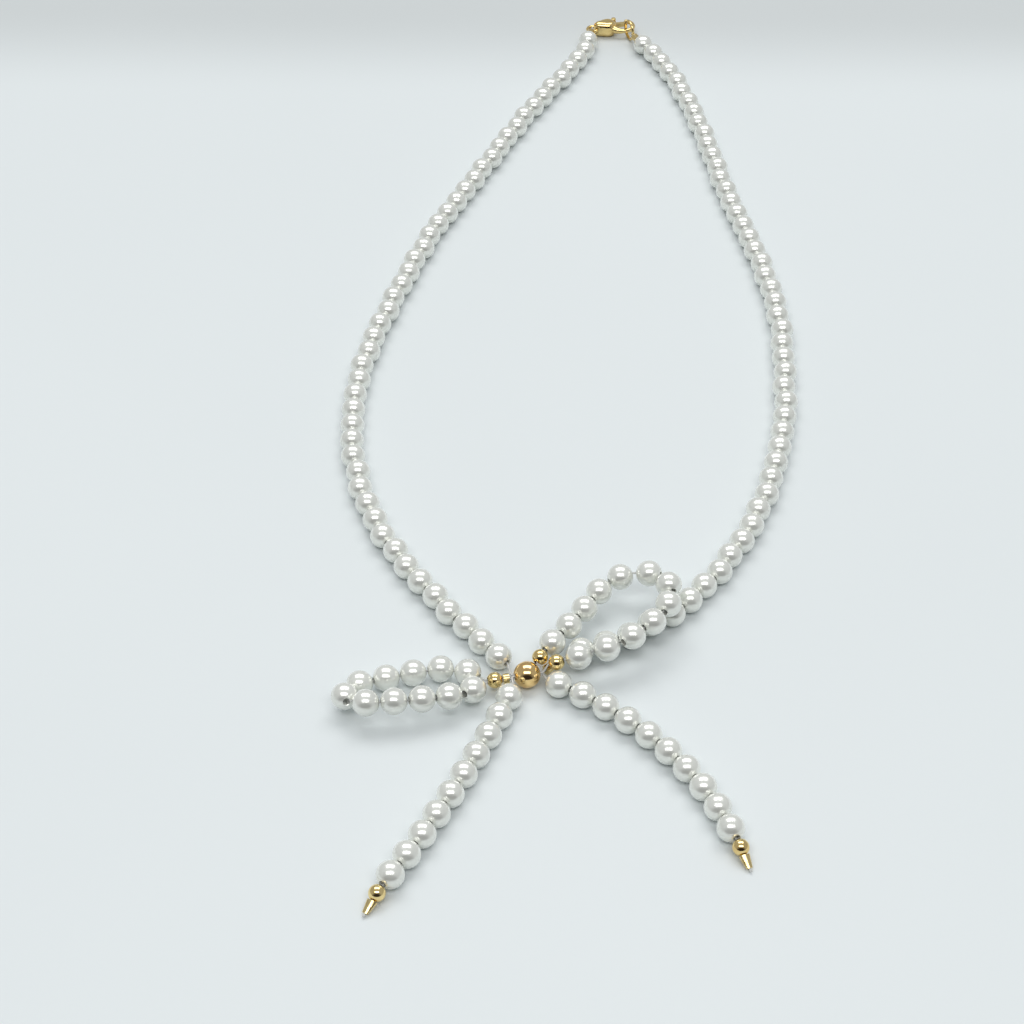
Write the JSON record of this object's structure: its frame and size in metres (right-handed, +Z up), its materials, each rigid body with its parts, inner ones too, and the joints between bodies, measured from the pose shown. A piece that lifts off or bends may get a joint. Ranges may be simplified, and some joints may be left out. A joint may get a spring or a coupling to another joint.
{
  "type": "eyeglasses chain strap",
  "caption": "Beaded pearl strap closed by a lobster clasp and end ring, with a knotted beaded bow of two loops and two hanging tails tipped with gold beads.",
  "frame": {"origin": "on the floor under the centre of the bow's large gold bead, where the strap lies spread out", "axes": "+Y from the bow to the clasp, +Z up from the floor, +X to the clasp lever's free side"},
  "size_m": [0.0776, 0.2372, 0.0083],
  "materials": {
    "pearl": "glossy",
    "thread": "satin",
    "gold": "polished",
    "spring_steel": "satin"
  },
  "bodies": {
    "knot": {"centre_gold_bead": "gold", "left_knot_crimp": "gold", "left_small_gold_bead": "gold", "upper_small_gold_bead": "gold", "outer_small_gold_bead": "gold", "right_knot_crimp": "gold", "left_strand_knot_thread": "thread", "left_tail_knot_thread": "thread", "right_strand_knot_thread": "thread", "right_tail_knot_thread": "thread"},
    "left_lower": {"left_lower_pearls": "pearl", "left_lower_thread": "thread"},
    "left_middle": {"left_middle_pearls": "pearl", "left_middle_thread": "thread"},
    "left_upper": {"left_upper_pearls": "pearl", "left_upper_thread": "thread", "left_end_crimp": "gold", "left_thread_eye": "thread"},
    "clasp": {"clasp_body": "gold", "clasp_pin": "gold", "clasp_lever_spring": "spring_steel"},
    "clasp_lever": {"clasp_lever": "gold"},
    "right_lower": {"right_lower_pearls": "pearl", "right_lower_thread": "thread"},
    "right_middle": {"right_middle_pearls": "pearl", "right_middle_thread": "thread"},
    "right_upper": {"right_upper_pearls": "pearl", "right_upper_thread": "thread", "right_end_crimp": "gold", "right_thread_eye": "thread"},
    "end_ring": {"end_ring": "gold"},
    "left_loop": {"left_loop_pearls": "pearl", "left_loop_thread": "thread"},
    "right_loop": {"right_loop_pearls": "pearl", "right_loop_thread": "thread"},
    "left_tail": {"left_tail_pearls": "pearl", "left_tail_thread": "thread", "left_tail_end_bead": "gold", "left_tail_crimp": "gold"},
    "right_tail": {"right_tail_pearls": "pearl", "right_tail_thread": "thread", "right_tail_end_bead": "gold", "right_tail_crimp": "gold"}
  },
  "joints": [
    {"name": "left_strand_swing", "type": "hinge", "parent": "knot", "child": "left_lower", "pos_m": [-0.0029, 0.0022, 0.002], "axis": [0, 0, 1], "range_deg": [-8, 8]},
    {"name": "left_middle_bend", "type": "hinge", "parent": "left_lower", "child": "left_middle", "pos_m": [-0.0295, 0.0593, 0.002], "axis": [0, 0, 1], "range_deg": [-1.6, 1.6]},
    {"name": "left_upper_bend", "type": "hinge", "parent": "left_middle", "child": "left_upper", "pos_m": [-0.0149, 0.1218, 0.002], "axis": [0, 0, 1], "range_deg": [-3.7, 3.7]},
    {"name": "clasp_swivel", "type": "hinge", "parent": "left_upper", "child": "clasp", "pos_m": [0.01255, 0.18981, 0.002], "axis": [0, 0, 1], "range_deg": [-3.5, 3.5]},
    {"name": "clasp_lever_open", "type": "hinge", "parent": "clasp", "child": "clasp_lever", "pos_m": [0.01568, 0.19141, 0.0016], "axis": [0, 0, -1], "range_deg": [0, 20], "stiffness_Nm_per_rad": 0.0005, "springref_deg": -28.65},
    {"name": "right_lower_swing", "type": "hinge", "parent": "knot", "child": "right_lower", "pos_m": [0.0061, 0.0043, 0.002], "axis": [0, 0, 1], "range_deg": [-4, 4]},
    {"name": "right_middle_bend", "type": "hinge", "parent": "right_lower", "child": "right_middle", "pos_m": [0.0415, 0.0543, 0.002], "axis": [0, 0, 1], "range_deg": [-1.9, 1.9]},
    {"name": "right_upper_bend", "type": "hinge", "parent": "right_middle", "child": "right_upper", "pos_m": [0.0389, 0.1183, 0.002], "axis": [0, 0, 1], "range_deg": [-3, 3]},
    {"name": "end_ring_swivel", "type": "hinge", "parent": "right_upper", "child": "end_ring", "pos_m": [0.02093, 0.18672, 0.002], "axis": [0, 0, 1], "range_deg": [-8.4, 8.4]},
    {"name": "left_loop_lift", "type": "hinge", "parent": "knot", "child": "left_loop", "pos_m": [-0.00594, -0.00126, 0.0018], "axis": [-0.2071, 0.9783, 0], "range_deg": [0, 40]},
    {"name": "right_loop_lift", "type": "hinge", "parent": "knot", "child": "right_loop", "pos_m": [0.00246, 0.00344, 0.00349], "axis": [0.8132, -0.5771, 0.075], "range_deg": [0, 20]},
    {"name": "left_tail_swing", "type": "hinge", "parent": "knot", "child": "left_tail", "pos_m": [-0.0019, -0.0026, 0.002], "axis": [0, 0, 1], "range_deg": [-20, 25]},
    {"name": "right_tail_swing", "type": "hinge", "parent": "knot", "child": "right_tail", "pos_m": [0.0029, -0.0009, 0.002], "axis": [0, 0, 1], "range_deg": [-30, 6]}
  ],
  "couplings": [
    {"joint": "left_middle_bend", "follows": "left_strand_swing", "ratio": -0.16593},
    {"joint": "left_upper_bend", "follows": "left_strand_swing", "ratio": -0.42842},
    {"joint": "right_lower_swing", "follows": "left_strand_swing", "ratio": 0.4749},
    {"joint": "right_middle_bend", "follows": "left_strand_swing", "ratio": 0.20061},
    {"joint": "right_upper_bend", "follows": "left_strand_swing", "ratio": 0.34528},
    {"joint": "clasp_swivel", "follows": "left_strand_swing", "ratio": -0.40565},
    {"joint": "end_ring_swivel", "follows": "left_strand_swing", "ratio": -1.0208}
  ]
}
